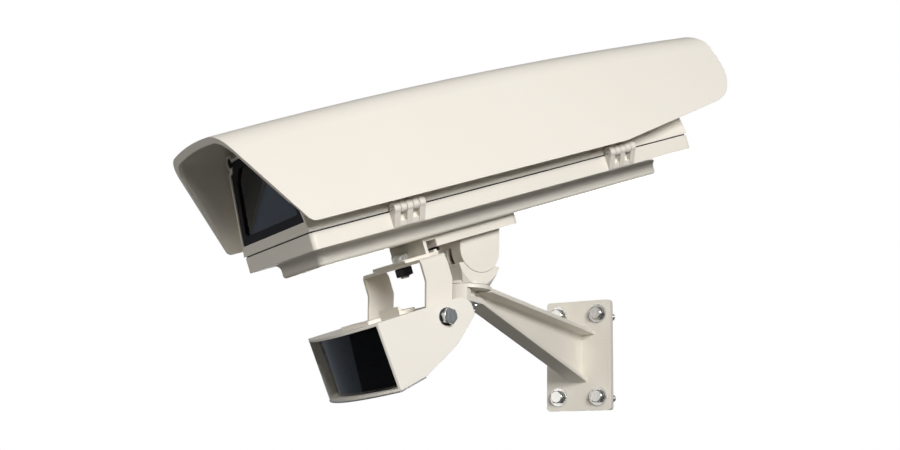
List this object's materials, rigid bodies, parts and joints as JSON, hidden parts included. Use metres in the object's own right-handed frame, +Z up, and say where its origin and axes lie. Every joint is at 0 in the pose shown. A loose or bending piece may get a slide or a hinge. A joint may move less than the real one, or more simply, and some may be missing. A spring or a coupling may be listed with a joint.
{
  "type": "security camera housing",
  "caption": "Outdoor camera housing with sunshield and opening cover, on a pan and tilt head and wall arm, with an infrared lamp hanging below the front in a swivelling yoke.",
  "frame": {"origin": "centre of the wall plate's back face, on the wall, in the middle of its four bolts", "axes": "+Y points from the object into the wall along the wall bolts, +Z up, +X to the right for someone who faces the wall"},
  "size_m": [0.3741, 0.5435, 0.4012],
  "materials": {
    "coat_bracket": "cream powder coat, satin",
    "coat_head": "cream powder coat, satin",
    "coat_housing": "cream powder coat, satin",
    "coat_shield": "cream powder coat, satin",
    "coat_fittings": "cream powder coat, satin",
    "coat_lamp": "cream powder coat, satin",
    "zinc": "bright zinc plate, satin",
    "black_steel": "black oxide, satin",
    "aluminium": "plain aluminium, satin",
    "gasket": "black rubber, matt",
    "window": "clear dark glass, polished",
    "lamp_pane": "dark infrared filter, polished",
    "plastic_black": "moulded black plastic, matt",
    "board": "green board lacquer, satin",
    "terminals": "moulded green plastic, satin",
    "emitter": "tinted clear resin, gloss"
  },
  "bodies": {
    "bracket": {"wall_bracket": "coat_bracket", "wall_bolts": "zinc", "wall_washers": "zinc"},
    "saddle": {"pan_saddle": "coat_head", "clamp_bolt": "zinc", "clamp_washer": "zinc", "curved_washer": "coat_head", "clamp_nut": "zinc"},
    "head": {"tilt_rocker": "coat_head", "rocker_screws": "zinc", "adaptor_plate": "coat_fittings", "adaptor_bolts": "black_steel", "lamp_hanger": "coat_fittings", "hanger_bolts": "zinc", "yoke_bolt": "zinc", "yoke_nut": "black_steel", "base_tray": "coat_housing", "seal_gasket": "gasket", "hinge_pins": "zinc", "cable_glands": "plastic_black", "gland_nuts": "plastic_black", "camera_slide": "aluminium", "slide_posts": "aluminium", "slide_screws": "zinc", "terminal_board": "board", "board_posts": "plastic_black", "terminal_blocks": "terminals", "window_heater": "aluminium"},
    "lid": {"top_cover": "coat_housing", "rear_panel": "coat_housing", "corner_blocks": "aluminium", "panel_screws": "zinc", "glass_gasket": "gasket", "front_glass": "window", "glass_clamps": "aluminium", "sunshield": "coat_shield", "shield_spacers": "aluminium", "shield_screws": "zinc", "cover_screws": "zinc"},
    "yoke": {"lamp_yoke": "coat_fittings"},
    "lamp": {"lamp_body": "coat_lamp", "lamp_window": "lamp_pane", "lamp_window_gasket": "gasket", "lamp_base_plate": "aluminium", "lamp_plate_screws": "zinc", "cable_clip": "coat_fittings", "lamp_pivot_bolts": "zinc", "lamp_pivot_washers": "black_steel", "lamp_pivot_sleeves": "aluminium", "led_board": "board", "led_emitters": "emitter", "heat_sink": "aluminium", "lamp_gland": "plastic_black"}
  },
  "joints": [
    {"name": "pan", "type": "hinge", "parent": "bracket", "child": "saddle", "pos_m": [0, -0.2354, 0.0443], "axis": [0, 0, 1], "range_deg": [-33, 87]},
    {"name": "tilt", "type": "hinge", "parent": "saddle", "child": "head", "pos_m": [0, -0.2354, 0.0769], "axis": [0.891, -0.454, 0], "range_deg": [-25, 20]},
    {"name": "cover_hinge", "type": "hinge", "parent": "head", "child": "lid", "pos_m": [0.06311, -0.28886, 0.12905], "axis": [0.4266, 0.8373, 0.342], "range_deg": [0, 100]},
    {"name": "yoke_swivel", "type": "hinge", "parent": "head", "child": "yoke", "pos_m": [-0.0317, -0.29761, 0.05149], "axis": [-0.1553, -0.3047, 0.9397], "range_deg": [-20, 20]},
    {"name": "lamp_tilt", "type": "hinge", "parent": "yoke", "child": "lamp", "pos_m": [-0.02919, -0.29269, 0.0021], "axis": [0.891, -0.454, 0], "range_deg": [-20, 20]}
  ]
}
